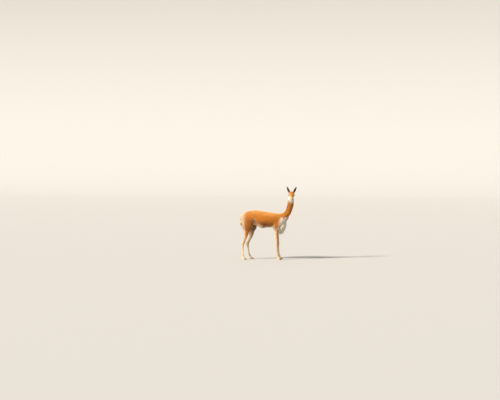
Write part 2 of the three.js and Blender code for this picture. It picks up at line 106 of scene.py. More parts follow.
def loft_mesh(ribs, sides, steps, domes, grow=None):
    """Vertices and faces of a closed loft. grow holds the outward step at each rib."""
    grow = np.zeros(len(ribs)) if grow is None else np.broadcast_to(np.asarray(grow, float), (len(ribs),))
    rows = (len(ribs) - 1) * steps
    turns = np.arange(sides) / sides * 2 * math.pi
    grow_at = lambda t: np.interp(t * (len(ribs) - 1), np.arange(len(ribs)), grow)
    mid = lambda t: (catmull([r[0] for r in ribs], [t]) + catmull([r[1] for r in ribs], [t]))[0] / 2

    def ring(t, size=1.0, slide=0.0):
        shares = np.full(sides, t)
        return skin_points(ribs, shares, turns, grow_at(shares), size) + slide

    rings = [ring(row / rows) for row in range(rows + 1)]
    near = 0.5 / rows
    for end, inner, depth in ((0, near, domes[0]), (1, 1 - near, domes[1])):
        out = mid(end) - mid(inner)
        out /= np.linalg.norm(out)
        for angle in (72, 52, 32, 14):
            a = math.radians(angle)
            section = ring(float(end), math.sin(a), out * (depth + grow_at(end)) * math.cos(a))
            rings = rings + [section] if end else [section] + rings
    verts = np.vstack(rings)
    count = len(rings)
    faces = []
    for r in range(count - 1):
        for s in range(sides):
            n = (s + 1) % sides
            faces.append((r * sides + s, r * sides + n, (r + 1) * sides + n, (r + 1) * sides + s))
    faces.append(tuple(range(sides - 1, -1, -1)))
    faces.append(tuple(range((count - 1) * sides, count * sides)))
    return verts, faces


# The animal's forms
def neck_rib(x, z, lean, thick, half, y):
    a = math.radians(lean)
    return rib(at(x, z, y), at(x + thick * math.cos(a), z - thick * math.sin(a), y), half)


TRUNK_RIBS = [
    rib(at(33, CROUP - 88), at(30, BELLY + 96), 64),
    rib(at(66, CROUP - 54), at(62, BELLY + 46), 95),
    rib(at(120, CROUP - 26), at(122, BELLY + 32), 115, 0.52),
    rib(at(205, CROUP - 6), at(210, BELLY + 40), 125, 0.5),
    rib(at(310, CROUP - 1), at(318, BELLY + 32), 128, 0.48),
    rib(at(420, BACK + 12), at(422, BELLY - 4), BARREL + 2, 0.45),
    rib(at(520, BACK), at(515, BELLY - 6), BARREL + 2, 0.44),
    rib(at(612, WITHERS + 10), at(602, GIRTH - 8), BARREL - 9, 0.46),
    rib(at(690, WITHERS), at(694, GIRTH - 2), BARREL - 23, 0.46),
    rib(at(748, WITHERS), at(800, GIRTH + 66), BARREL - 40, 0.48),
    rib(at(792, WITHERS + 14), at(868, GIRTH + 160), BARREL - 59, 0.5),
    neck_rib(826, WITHERS + 46, 30, NECK + 2, 62, 0),
    neck_rib(847, WITHERS + 96, 23, NECK, 55, -3),
    neck_rib(864, WITHERS + 151, 16, NECK, 52, -9),
    neck_rib(875, WITHERS + 211, 12, NECK - 3, 50, -16),
    neck_rib(879, WITHERS + 272, 10, NECK - 8, 49, -22),
    neck_rib(887, WITHERS + 318, 10, NECK - 25, 38, -26),
]


# Heights of a leg, and the share of its foot's stride that the leg has moved forward there
SWING_HEIGHTS, SWING_SHARES = [0, HOCK, 420, 560, 760], [1, 0.58, 0.7, 0.62, 0]


def swing(stride):
    return lambda z: stride * np.interp(z, SWING_HEIGHTS, SWING_SHARES)


def leg_ribs(rows, y, shift):
    """Rows hold front, rear, height, half width, share of the stance, and height of the rear edge."""
    ribs = []
    for front, rear, z, half, inset, *rear_z in rows:
        rz = rear_z[0] if rear_z else z
        side = y * inset
        ribs.append(rib(at(front + shift(z), z, side), at(rear + shift(rz), rz, side), half))
    return ribs


HIND_ROWS = [
    (205, 92, 778, 42, 0.74),
    (250, 58, 728, 54, 0.82),
    (258, 46, 660, 58, 0.88),
    (232, 54, 592, 51, 0.95),
    (190, 76, 516, 39, 1, 508),
    (148, 75, 414, 27, 1, 408),
    (112, 48, HOCK + 52, 22, 1, HOCK + 44),
    (93, 26, HOCK, 21, 1, HOCK + 10),
    (81, 34, HOCK - 42, 19, 1),
    (76, 44, HOCK - 85, 15, 1),
    (73, 46, HOCK - 160, 14.5, 1),
    (80, 42, FETLOCK, 19, 1, FETLOCK - 4),
    (98, 58, 50, 18, 1, 38),
]
FORE_ROWS = [
    (725, 652, 728, 34, 0.76),
    (729, 628, 672, 42, 0.84),
    (721, 614, 604, 42, 0.92),
    (709, 622, 552, 34, 0.98, 548),
    (704, 636, 462, 26, 1, 456),
    (706, 645, KNEE + 78, 21.5, 1, KNEE + 74),
    (711, 652, KNEE + 4, 22.5, 1),
    (710, 660, KNEE - 44, 19.5, 1),
    (708, 673, KNEE - 88, 15, 1),
    (713, 684, KNEE - 170, 14.5, 1),
    (721, 682, FETLOCK, 19, 1, FETLOCK - 4),
    (739, 699, 50, 18, 1, 38),
]
LEGS = {
    "hind_right": (HIND_ROWS, -1, 0, 74),
    "hind_left": (HIND_ROWS, 1, FAR_HIND_STRIDE, 74),
    "fore_right": (FORE_ROWS, -1, 0, 714),
    "fore_left": (FORE_ROWS, 1, FAR_FORE_STRIDE, 714),
}
TOE_LENGTH, TOE_SPLAY = 58, 13.5


def toe_ribs(x, y):
    return [
        rib(at(x - 24, 25, y), at(x - 24, -6, y), 12.5),
        rib(at(x - 6, 40, y), at(x - 6, -8, y), 14.5),
        rib(at(x + 16, 34, y), at(x + 16, -8, y), 14),
        rib(at(x + TOE_LENGTH - 24, 22, y), at(x + TOE_LENGTH - 24, -5, y), 11),
    ]


def tail_rib(x, z, thick, half):
    return rib(at(x - thick, z), at(x + thick, z - 4), half)


TAIL_RIBS = [
    rib(at(66, CROUP - 56), at(58, CROUP - 90), 20),
    rib(at(38, CROUP - 72), at(45, CROUP - 106), 27),
    tail_rib(28, CROUP - 130, 19, 33),
    tail_rib(25, CROUP - 190, 19, 35),
    tail_rib(30, CROUP - 240, 15, 29),
    tail_rib(38, CROUP - 278, 8, 15),
]
BIB_RIBS = [
    rib(at(858, CHEST + 40), at(798, CHEST + 40), 58, 0.4),
    rib(at(850, CHEST - 20), at(766, CHEST - 20), 80, 0.38),
    rib(at(836, CHEST - 95), at(732, CHEST - 95), 86, 0.36),
    rib(at(812, CHEST - 150), at(716, CHEST - 150), 70, 0.36),
    rib(at(782, CHEST - 192), at(716, CHEST - 192), 42, 0.4),
]
HEAD_RIBS = [
    rib(at(6, 34), at(4, -32), 34),
    rib(at(30, 51), at(28, -50), HEAD_HALF_WIDTH - 5, 0.48),
    rib(at(58, 56), at(60, -54), HEAD_HALF_WIDTH, 0.5),
    rib(at(86, 50), at(90, -49), HEAD_HALF_WIDTH - 3, 0.54),
    rib(at(112, 38), at(116, -42), HEAD_HALF_WIDTH - 15, 0.5),
    rib(at(138, 28), at(140, -36), HEAD_HALF_WIDTH - 25, 0.46),
    rib(at(164, 22), at(162, -31), HEAD_HALF_WIDTH - 30, 0.44),
    rib(at(186, 19), at(182, -27), HEAD_HALF_WIDTH - 31, 0.44),
    rib(at(HEAD_LENGTH - 10, 11), at(HEAD_LENGTH - 14, -21), HEAD_HALF_WIDTH - 37, 0.44),
]
EYE = np.array((92.0, HEAD_HALF_WIDTH - 18, 9.0))
EYE_FACING = math.radians(60)
EAR_LEAVES = [(0, 13, 12), (0.18, 17.5, 15), (0.4, 21, 13.5), (0.64, 18, 10), (0.85, 10.5, 6), (0.97, 3.6, 3)]
EAR_RIBS = [rib(at(d, EAR_LENGTH * s), at(-d, EAR_LENGTH * s), h) for s, h, d in EAR_LEAVES]
CUP_RIBS = [
    rib(at(d * 2.6, EAR_LENGTH * s + 4), at(-d * 0.5, EAR_LENGTH * s + 4), h * 0.74, 0.35)
    for s, h, d in EAR_LEAVES[1:-1]
]
EAR_ROOT = (30, HEAD_HALF_WIDTH - 19, 28)
EAR_SPLAY = {-1: math.radians(24), 1: math.radians(28)}
EAR_RISE, EAR_TWIST = 0.72, 0.45

HEAD_PLACE = (
    Matrix.Translation(POLL) @ Matrix.Rotation(HEAD_TURN, 4, "Z") @ Matrix.Rotation(HEAD_DROP, 4, "Y")
)


def ear_place(side):
    return (
        HEAD_PLACE
        @ Matrix.Translation((EAR_ROOT[0], side * EAR_ROOT[1], EAR_ROOT[2]))
        @ Matrix.Rotation(-side * EAR_SPLAY[side], 4, "X")
        @ Matrix.Rotation(HEAD_DROP * -EAR_RISE, 4, "Y")
        @ Matrix.Rotation(side * EAR_TWIST, 4, "Z")
    )


def moved(verts, matrix):
    m = np.array(matrix)
    return verts @ m[:3, :3].T + m[:3, 3]


def unmoved(verts, matrix):
    return moved(verts, matrix.inverted())


# The frame's origin in the forms' own millimetres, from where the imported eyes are
def frame_shift():
    found = []
    for side, node in ((-1, "eye_right"), (1, "eye_left")):
        low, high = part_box(node)
        middle = np.array([(a + b) / 2 for a, b in zip(low, high)]) / MM
        made = moved(np.array([[EYE[0], side * EYE[1], EYE[2]]]), HEAD_PLACE)[0]
        found.append(made - middle)
    return np.mean(found, axis=0)


SHIFT = frame_shift()


def to_frame(verts):
    return (verts - SHIFT) * MM


def to_forms(points):
    return points / MM + SHIFT


def mesh_object(name, verts, faces):
    mesh = bpy.data.meshes.new(name)
    mesh.from_pydata([tuple(v) for v in verts], [], faces)
    mesh.validate()
    made = bpy.data.objects.new(name, mesh)
    bpy.context.collection.objects.link(made)
    return made


def apply_modifiers(obj):
    graph = bpy.context.evaluated_depsgraph_get()
    done = bpy.data.meshes.new_from_object(obj.evaluated_get(graph))
    old = obj.data
    obj.modifiers.clear()
    obj.data = done
    bpy.data.meshes.remove(old)
    return obj


def delete(*objs):
    for obj in objs:
        data = obj.data
        bpy.data.objects.remove(obj, do_unlink=True)
        bpy.data.meshes.remove(data)


def recalc(obj):
    bm = bmesh.new()
    bm.from_mesh(obj.data)
    bmesh.ops.recalc_face_normals(bm, faces=bm.faces)
    bm.to_mesh(obj.data)
    bm.free()


def form(name, ribs, sides, steps, domes, grow=None, matrix=None):
    verts, faces = loft_mesh(ribs, sides, steps, domes, grow)
    if matrix is not None:
        verts = moved(verts, matrix)
    made = mesh_object(name, to_frame(verts), faces)
    recalc(made)
    return made


def joined(name, objs):
    """One object that holds copies of all these meshes."""
    bm = bmesh.new()
    for obj in objs:
        bm.from_mesh(obj.data)
    mesh = bpy.data.meshes.new(name)
    bm.to_mesh(mesh)
    bm.free()
    made = bpy.data.objects.new(name, mesh)
    bpy.context.collection.objects.link(made)
    delete(*objs)
    return made


def boolean(obj, other, operation):
    modifier = obj.modifiers.new("cut", "BOOLEAN")
    modifier.operation = operation
    modifier.solver = "MANIFOLD"
    modifier.object = other
    apply_modifiers(obj)
    delete(other)
    return obj


def remeshed(obj, voxel, smooths, strength=0.5):
    modifier = obj.modifiers.new("voxels", "REMESH")
    modifier.mode = "VOXEL"
    modifier.voxel_size = voxel * MM
    modifier.adaptivity = 0
    if smooths:
        smooth = obj.modifiers.new("smooth", "SMOOTH")
        smooth.iterations = smooths
        smooth.factor = strength
    return apply_modifiers(obj)


# Skin of the body: trunk, neck, legs and tail, inside the coat's depth
COAT_DEPTH = 13
trunk_depth = [COAT_DEPTH] * 9 + [12, 10, 9, 8, 7, 6, 5, 4]
pieces = [form("trunk", TRUNK_RIBS, 64, 8, (22, 16), [-d for d in trunk_depth])]
for name, (rows, side, stride, toe_x) in LEGS.items():
    ribs = leg_ribs(rows, side * STANCE, swing(stride))
    depth = [-7, -7, -6, -5, -4, -3] + [-2] * (len(ribs) - 6)
    pieces.append(form(name, ribs, 40, 6, (24, 8), depth))
    for toe_side in (-1, 1):
        toe = toe_ribs(toe_x + stride, side * STANCE + toe_side * TOE_SPLAY)
        pieces.append(form("toe", toe, 24, 5, (6, 7), -1.2))
pieces.append(form("tail", TAIL_RIBS, 24, 5, (4, 10), -9))
pieces.append(form("bib", BIB_RIBS, 32, 5, (20, 10), [-8, -12, -13, -13, -12]))
body = joined("body", pieces)
body = remeshed(body, 5.1, 12)

# Skin of the head: skull, lids and ears, with the eye openings, the mouth and the nostrils cut in
def ball(name, centre, radius, matrix, scale=(1, 1, 1), turn=None, segments=48):
    bm = bmesh.new()
    bmesh.ops.create_uvsphere(bm, u_segments=segments, v_segments=segments // 2, radius=radius)
    local = Matrix.Translation(centre)
    if turn is not None:
        local = local @ turn
    bmesh.ops.transform(bm, matrix=matrix @ local @ Matrix.Diagonal((*scale, 1)), verts=bm.verts)
    verts = np.array([v.co[:] for v in bm.verts])
    faces = [[v.index for v in f.verts] for f in bm.faces]
    bm.free()
    made = mesh_object(name, to_frame(verts), faces)
    recalc(made)
    return made


def prism(name, outline, depth, matrix):
    """A closed prism of an outline in its own X and Z, run out along its own Y."""
    count = len(outline)
    near = [(x, 0, z) for x, z in outline]
    far = [(x, depth, z) for x, z in outline]
    verts = moved(np.array(near + far, float), matrix)
    faces = [tuple(range(count)), tuple(range(2 * count - 1, count - 1, -1))]
    faces += [(i, (i + 1) % count, count + (i + 1) % count, count + i) for i in range(count)]
    made = mesh_object(name, to_frame(verts), faces)
    recalc(made)
    return made


def curve_points(a, control, b, count=14):
    t = np.linspace(0, 1, count)[:, None]
    a, control, b = (np.array(p, float) for p in (a, control, b))
    return (1 - t) ** 2 * a + 2 * t * (1 - t) * control + t**2 * b


# Edges of the lids, seen from in front of the eye, and the place of that view on the head
UPPER_LID = curve_points((-16, -3), (-2, 24), (16, 3), 24) * (-1, 1)
LOWER_LID = curve_points((16, 3), (4, -19), (-16, -3), 24) * (-1, 1)


def eye_place(side):
    turn = Matrix.Rotation(EYE_FACING - math.pi / 2, 4, "Z")
    flip = Matrix.Diagonal((1, side, 1, 1))
    return HEAD_PLACE @ Matrix.Translation((EYE[0], side * EYE[1], EYE[2])) @ flip @ turn


def on_eye(edge, radius):
    """An edge of the lids laid on a ball of that radius, in the eye's own frame."""
    depth = np.sqrt(np.maximum(radius**2 - (edge**2).sum(axis=1), 0))
    return np.c_[edge[:, 0], depth, edge[:, 1]]


def lid_distance(head_at):
    """How far points in the head's frame are outside the nearer eye's opening, seen from in front of it."""
    found = np.full(len(head_at), 99.0)
    for side in (-1, 1):
        across, depth, up = unmoved(head_at, HEAD_PLACE.inverted() @ eye_place(side)).T
        upper = np.interp(across, UPPER_LID[::-1, 0], UPPER_LID[::-1, 1])
        lower = np.interp(across, LOWER_LID[:, 0], LOWER_LID[:, 1])
        outside = np.maximum(np.maximum(up - upper, lower - up), np.abs(across) - 16)
        found = np.minimum(found, np.where((depth > 3) & (depth < 30), outside, 99))
    return found


def almond(side):
    outline = [tuple(point) for point in np.vstack([UPPER_LID[:-1], LOWER_LID[:-1]])]
    cut = prism("almond", outline, 40, eye_place(side))
    return boolean(cut, ball("reach", (0, 0, 0), EYE_RADIUS + 5.5, eye_place(side)), "INTERSECT")


HEAD_FUR = -1.5
NOSTRIL = np.array((206.0, 10.5, 4.0))
NOSTRIL_SIZE = np.array((6.5, 1.4, 5.2))


def nostril_turn(side):
    return Matrix.Rotation(side * 0.35, 4, "Z") @ Matrix.Rotation(-side * 0.75, 4, "X")


head_parts = [form("skull", HEAD_RIBS, 64, 10, (12, 9), HEAD_FUR, HEAD_PLACE)]
LID = 2.4
for side in (-1, 1):
    centre = (EYE[0], side * EYE[1], EYE[2])
    head_parts.append(ball("lid", centre, EYE_RADIUS + LID, HEAD_PLACE))
    for edge, thick, out in ((UPPER_LID, 3.4, 1.8), (LOWER_LID, 2.3, -1.4)):
        rolled = on_eye(edge + (0, out), EYE_RADIUS + 1.0)
        for spot in rolled[4:-4:2]:
            head_parts.append(ball("roll", spot, thick, eye_place(side), segments=16))
    # brow, cheek bone, nostril wing and lip
    head_parts.append(ball("brow", (84, side * 37, 25), 1, HEAD_PLACE, (24, 12, 8), Matrix.Rotation(side * 0.5, 4, "Z")))
    head_parts.append(ball("cheek", (120, side * 27, -8), 1, HEAD_PLACE, (38, 9, 15), Matrix.Rotation(-side * 0.3, 4, "Z")))
    head_parts.append(ball("wing", (197, side * 10.5, 5), 1, HEAD_PLACE, (12, 7.5, 8.5)))
    head_parts.append(ball("lip", (192, side * 8.5, -9), 1, HEAD_PLACE, (19, 10.5, 9)))
head_parts.append(ball("chin", (184, 0, -21), 1, HEAD_PLACE, (17, 12, 9)))
for side in (-1, 1):
    ear = form("ear", EAR_RIBS, 40, 8, (4, 3), -0.6, ear_place(side))
    cup = form("cup", CUP_RIBS, 40, 8, (14, 1), 0.6, ear_place(side))
    head_parts.append(boolean(ear, cup, "DIFFERENCE"))
head = joined("head", head_parts)
head = remeshed(head, 1.95, 2)
for side in (-1, 1):
    boolean(head, almond(side), "DIFFERENCE")
    boolean(head, ball("socket", (EYE[0], side * EYE[1], EYE[2]), EYE_RADIUS + 0.25, HEAD_PLACE), "DIFFERENCE")
    centre = NOSTRIL * (1, side, 1)
    boolean(head, ball("nostril", centre, 1, HEAD_PLACE, NOSTRIL_SIZE, nostril_turn(side)), "DIFFERENCE")

# The mouth is a thin curved sheet that goes in only as far as the lips are thick.
mouth_line = np.array([(HEAD_LENGTH + 20, -8), (HEAD_LENGTH - 4, -11), (HEAD_LENGTH - 24, -16), (150, -16)], float)
line = catmull(np.c_[mouth_line, np.zeros(4)], np.linspace(0, 1, 24))[:, :2]
outline = [(x, z + 0.7) for x, z in line] + [(x, z - 0.7) for x, z in line[::-1]]
mouth = prism("mouth", outline, 120, HEAD_PLACE @ Matrix.Translation((0, -60, 0)))
split = prism("split", [(HEAD_LENGTH - 20, -12), (HEAD_LENGTH + 20, -12), (HEAD_LENGTH + 20, 7), (HEAD_LENGTH - 20, 7)],
              1.4, HEAD_PLACE @ Matrix.Translation((0, -0.7, 0)))
deep = form("deep", HEAD_RIBS, 64, 10, (12, 9), -6, HEAD_PLACE)
deep_copy = form("deep", HEAD_RIBS, 64, 10, (12, 9), -3.5, HEAD_PLACE)
boolean(mouth, deep, "DIFFERENCE")
boolean(split, deep_copy, "DIFFERENCE")
boolean(head, mouth, "DIFFERENCE")
boolean(head, split, "DIFFERENCE")

skin = boolean(body, head, "UNION")
skin.name = skin.data.name = "skin"
print("skin faces", len(skin.data.polygons), "triangles", sum(len(p.vertices) - 2 for p in skin.data.polygons))


# Shared measures of a place on the animal, from points in the forms' millimetres
def smooth(low, high, value):
    t = np.clip((value - low) / (high - low), 0, 1)
    return t * t * (3 - 2 * t)


def unit(v):
    return v / np.maximum(np.linalg.norm(v, axis=-1, keepdims=True), 1e-9)


def wave(p, scale, seed):
    """Smooth variation from -1 to 1, by sums of waves in several directions."""
    draw = np.random.default_rng(seed)
    total = np.zeros(len(p))
    for octave in (1, 1.9, 3.7):
        for _ in range(3):
            way = unit(draw.normal(size=3))
            total += np.sin(p @ way * octave * 2 * math.pi / scale + draw.uniform(0, 6.28)) / octave
    return total / 3.2


AXIS_SHARES = np.linspace(0, 1, 241)
AXIS = (catmull([r[0] for r in TRUNK_RIBS], AXIS_SHARES) + catmull([r[1] for r in TRUNK_RIBS], AXIS_SHARES)) / 2
AXIS_WAY = unit(np.gradient(AXIS, axis=0))
THROAT = np.array((940.0, -55.0, 1095.0))
HEAD_UP = unit(np.array((0.0, -55.0, 100.0)))
THROAT_FRONT = unit(np.array((0.6, -0.8, 0.0)))
DOWN = np.array((0.0, 0.0, -1.0))


def nearest_axis(p, batch=20000):
    found = []
    for start in range(0, len(p), batch):
        part = p[start : start + batch, ::2].astype(np.float32)
        gaps = ((part[:, None] - AXIS[None, :, ::2].astype(np.float32)) ** 2).sum(axis=2)
        found.append(np.argmin(gaps, axis=1))
    return np.concatenate(found)


class Place:
    """Where points lie: along the trunk and neck, in the head's and ears' frames, and on which part."""

    def __init__(self, p, n):
        self.p, self.n = p, n
        near = nearest_axis(p)
        self.t = AXIS_SHARES[near]
        self.along = AXIS_WAY[near]
        self.head_at = unmoved(p, HEAD_PLACE)
        self.head = smooth(-14, 22, (p - THROAT) @ HEAD_UP)
        self.lid = lid_distance(self.head_at)
        self.ear = np.zeros(len(p))
        self.ear_up = np.zeros_like(p)
        self.ear_front = np.zeros(len(p))
        for side in (-1, 1):
            place = ear_place(side)
            local = unmoved(p, place)
            turn = np.array(place)[:3, :3]
            inside = (np.abs(local[:, 1]) < 25) & (np.abs(local[:, 0]) < 20) & (local[:, 2] < EAR_LENGTH + 10)
            weight = inside * smooth(6, 20, local[:, 2]) * self.head
            self.ear = np.maximum(self.ear, weight)
            self.ear_up += weight[:, None] * turn[:, 2]
            self.ear_front = np.maximum(self.ear_front, weight * smooth(0.1, 0.6, n @ turn[:, 0]))
        x, y, z = p.T
        self.leg = smooth(650, 560, z) * (1 - self.head)
        under = (np.abs(y) < 40) & (z > 500)
        self.leg = np.where(under, self.leg * 0.2, self.leg)
        edge = np.interp(z, [450, 600, 730, 790, 830], [700, 706, 734, 772, 830])
        self.bib = smooth(-9, 9, x - edge + 5 * wave(p, 40, 8))
        self.bib *= smooth(818, 786, z + np.abs(y) * 0.25) * (z > 420) * smooth(112, 92, np.abs(y))
        self.bib *= np.where(z < 600, np.abs(y) < 42, 1) * np.where(z < 560, x > 712, 1)
        self.tail = ((x < 50) & (np.abs(y) < 38) & (z > 590) & (z < 830)).astype(float)
        stride = np.where(y > 0, np.where(x > 420, FAR_FORE_STRIDE, FAR_HIND_STRIDE), 0)
        self.leg_x = x - stride * np.interp(z, SWING_HEIGHTS, SWING_SHARES)
        self.outer = smooth(-0.15, 0.4, n[:, 1] * np.sign(y)) * (np.abs(y) > 42)


def rgb(*values):
    c = np.array(values, float) / 255
    return np.where(c <= 0.04045, c / 12.92, ((c + 0.055) / 1.055) ** 2.4)


FAWN, SIDE_SHADE_FAWN, BLEACHED_AND_SUNLIT = rgb(222, 142, 42), rgb(202, 114, 26), rgb(242, 184, 106)
SHADE_BROWN, CREAM, WHITE, SHADED_WHITE = rgb(112, 60, 20), rgb(252, 216, 164), rgb(253, 240, 218), rgb(138, 104, 80)
BIB_WHITE = rgb(255, 247, 232)
LEG_FRONT, LEG_PALE, EAR_BACK, EAR_CUP_SHADE = rgb(202, 142, 92), rgb(248, 216, 174), rgb(76, 42, 20), rgb(92, 56, 32)
NOSE, LID_TONE = rgb(34, 25, 22), rgb(38, 25, 18)


def blend(base, other, weight):
    return base + (other - base) * np.clip(weight, 0, 1)[:, None]


# Lower edge of the fawn on the flank: the white rises in a wedge in front of the thigh
FLANK_EDGE = ([240, 262, 300, 336, 390, 450, 620, 700], [800, 790, 748, 688, 630, 600, 590, 600])


def nostril_distance(head_at):
    """How far points in the head's frame are from the nearer nostril, in its own radii."""
    found = np.full(len(head_at), 99.0)
    for side in (-1, 1):
        local = unmoved(head_at, Matrix.Translation(NOSTRIL * (1, side, 1)) @ nostril_turn(side))
        found = np.minimum(found, np.linalg.norm(local / (NOSTRIL_SIZE + (3, 0.9, 0.9)), axis=1))
    return found


def marking(where):
    """The coat's colour at each place, the same for skin and hair."""
    x, y, z = where.p.T
    n, leg_x = where.n, where.leg_x
    speckle = wave(where.p, 70, 3)
    fine = wave(where.p, 17, 4)
    body = 1 - where.head
    c = np.tile(FAWN, (len(x), 1))
    # painted shade: fleece facing sideways and down, below the back, is blended towards a darker fawn
    c = blend(c, SIDE_SHADE_FAWN, (0.45 + 0.3 * speckle) * smooth(0.8, -0.1, n[:, 2]) * smooth(850, 720, z) * body)
    # painted shade: a dark brown patch low on the flank, under the bulge of the barrel
    lower_flank_shade = np.exp(-(((x - 490) / 110) ** 2)) * smooth(738, 650, z + 22 * speckle)
    c = blend(c, SHADE_BROWN, lower_flank_shade * 0.85)
    # upward-facing fleece made lighter: partly sun-bleaching, partly painted sunlight on the top of the body
    c = blend(c, BLEACHED_AND_SUNLIT, smooth(0.25, 0.95, n[:, 2] + 0.12 * speckle) * 0.85 * (z < 930) * body)
    # painted shade: the front of the thigh darkened towards brown
    gaskin_shade = smooth(90, 170, leg_x) * smooth(300, 240, x) * smooth(800, 690, z) * (z > 300)
    c = blend(c, SHADE_BROWN, gaskin_shade * body * (0.3 + 0.15 * speckle))
    rump = smooth(165, 40, x + 16 * speckle) * smooth(580, 680, z)
    c = blend(c, blend(np.tile(CREAM, (len(x), 1)), WHITE, 0.35 + 0.4 * fine), rump)
    # belly, groin and flank wedge, with painted shade in the wedge's hollow
    edge = np.interp(x, *FLANK_EDGE) + 9 * speckle + 4 * fine
    open_flank = np.where(leg_x < 258, 1 - where.outer, 1)
    below = edge - z
    pale = smooth(-10, 14, below) * (x > 90) * (x < 742) * open_flank * body * (z > 520)
    pale *= np.where(x > 450, np.maximum(smooth(640, 690, x), 0.6), 1)
    c = blend(c, CREAM, pale)
    # painted shade: the inside of the flank wedge darkened to grey-brown
    c = blend(c, SHADED_WHITE, pale * smooth(2, 30, below) * smooth(372, 318, x) * 0.9)
    under = smooth(104, 62, np.abs(y) + 12 * fine) * (n[:, 2] < -0.3) * (x > 90) * (x < 742) * (z > 520) * body
    c = blend(c, CREAM, under)
    # legs
    hind = x < 420
    rear_edge = np.where(hind, smooth(122, 92, leg_x + 7 * fine), smooth(664, 640, leg_x + 5 * fine))
    low = np.where(hind, smooth(490, 360, z + 24 * speckle + 0.4 * (leg_x - 130)), smooth(596, 520, z + 16 * speckle))
    front_edge = np.where(hind, smooth(60, 84, leg_x), smooth(676, 700, leg_x))
    tone = blend(np.tile(LEG_PALE, (len(x), 1)), LEG_FRONT, front_edge * np.where(hind, 0.5, 0.8) * smooth(40, 200, z))
    leg = np.where(hind, (z < 700) & (leg_x < 268), (z < 640) & (x > 606)) * body * (1 - where.tail)
    c = blend(c, LEG_PALE, rear_edge * 0.9 * leg * smooth(720, 640, z) * where.outer)
    c = blend(c, tone, low * leg)
    # painted shade: the inner sides of the legs darkened, the hind legs more than the forelegs
    inner = (1 - where.outer) * smooth(660, 600, z) * leg
    c = blend(c, LEG_PALE * 0.56, inner * 0.9)
    c = blend(c, SHADED_WHITE, inner * smooth(380, 540, z) * np.where(hind, 0.75, 0.3))
    c = blend(c, blend(np.tile(BIB_WHITE, (len(x), 1)), CREAM, 0.12 + 0.2 * fine), where.bib)
    # painted shade: the forward-facing side of the neck darkened towards brown
    neck_front_shade = smooth(-0.1, 0.7, n[:, 0]) * smooth(0.66, 0.76, where.t) * body * smooth(1085, 1030, z) * (1 - where.bib)
    c = blend(c, SHADE_BROWN, neck_front_shade * 0.5)
    # head: fawn crown and bridge, white throat, pale cheeks and muzzle
    hx, hy, hz = where.head_at.T
    ahy = np.abs(hy)
    throat = smooth(-4, -24, hz + 5 * fine - (hx - 90) * 0.08) * smooth(-20, 26, hx + 8 * fine)
    throat_edge = 1074 - 26 * (n @ THROAT_FRONT) + 15 * speckle + 10 * fine
    c = blend(c, WHITE, throat * np.maximum(where.head, smooth(-26, 22, z - throat_edge)))
    h = where.head * (1 - where.ear)
    c = blend(c, CREAM, smooth(104, 150, hx) * smooth(10, 22, ahy + 0.25 * (10 - hz) + 3 * fine) * 0.85 * h)
    c = blend(c, CREAM, smooth(158, 194, hx) * 0.8 * h)
    ring = np.sqrt((hx - EYE[0]) ** 2 + (ahy - EYE[1]) ** 2 + (hz - EYE[2]) ** 2)
    c = blend(c, CREAM, smooth(33, 25, ring + 1.5 * fine) * 0.5 * h)
    c = blend(c, LID_TONE, smooth(3.2, 1.2, where.lid + 0.4 * fine) * h)
    c = blend(c, NOSE, smooth(1.3, 1.0, nostril_distance(where.head_at)) * h)
    groove = smooth(2.6, 1.2, ahy) * smooth(196, 201, hx) * smooth(2, -1, hz) * smooth(-15, -12, hz)
    lips = smooth(166, 186, hx) * smooth(2.4, 1.2, np.abs(hz + 12 + (hx - 185) * -0.12))
    c = blend(c, NOSE, np.maximum(groove, lips * 0.6) * h)
    c = blend(c, EAR_BACK, where.ear * (0.9 + 0.2 * fine))
    # painted shade: the inside of each ear's cup darkened
    c = blend(c, EAR_CUP_SHADE, where.ear_front * smooth(0.4, 0.9, where.ear) * 0.8)
    blotch = wave(where.p, 38, 21) * smooth(1, 0, where.head + where.bib)
    return np.clip(c * (1 + 0.07 * fine + 0.05 * speckle + 0.12 * blotch)[:, None], 0, 1)


def lie(where):
    """The way the coat lies, laid flat on the skin."""
    x, y, z = where.p.T
    sag = 0.25 + 0.35 * smooth(860, 700, z)
    flow = -where.along + DOWN * (sag * smooth(0.72, 0.6, where.t))[:, None]
    leg_flow = DOWN + np.array((-0.12, 0, 0))
    flow = flow + (leg_flow - flow) * where.leg[:, None]
    flow = flow + (np.array((-0.1, 0, -1.0)) - flow) * where.bib[:, None]
    turn = np.array(HEAD_PLACE)[:3, :3]
    hx, hy, hz = where.head_at.T
    head_flow = np.c_[-np.ones(len(x)), 0.12 * np.sign(hy), 0.15 * hz / 40] @ turn.T
    flow = flow + (head_flow - flow) * where.head[:, None]
    flow = flow + (where.ear_up - flow) * where.ear[:, None]
    flow = unit(flow)
    return unit(flow - where.n * np.sum(flow * where.n, axis=1)[:, None])


# Skin: finer colour by vertex, and an unwrap of its own
def mesh_arrays(mesh):
    count = len(mesh.vertices)
    co = np.empty(count * 3)
    mesh.vertices.foreach_get("co", co)
    normal = np.empty(count * 3)
    mesh.vertex_normals.foreach_get("vector", normal)
    return co.reshape(-1, 3), normal.reshape(-1, 3)


def paint(mesh, colours):
    layer = mesh.color_attributes.new("mark", "FLOAT_COLOR", "POINT")
    layer.data.foreach_set("color", np.c_[colours, np.ones(len(colours))].astype(np.float32).ravel())


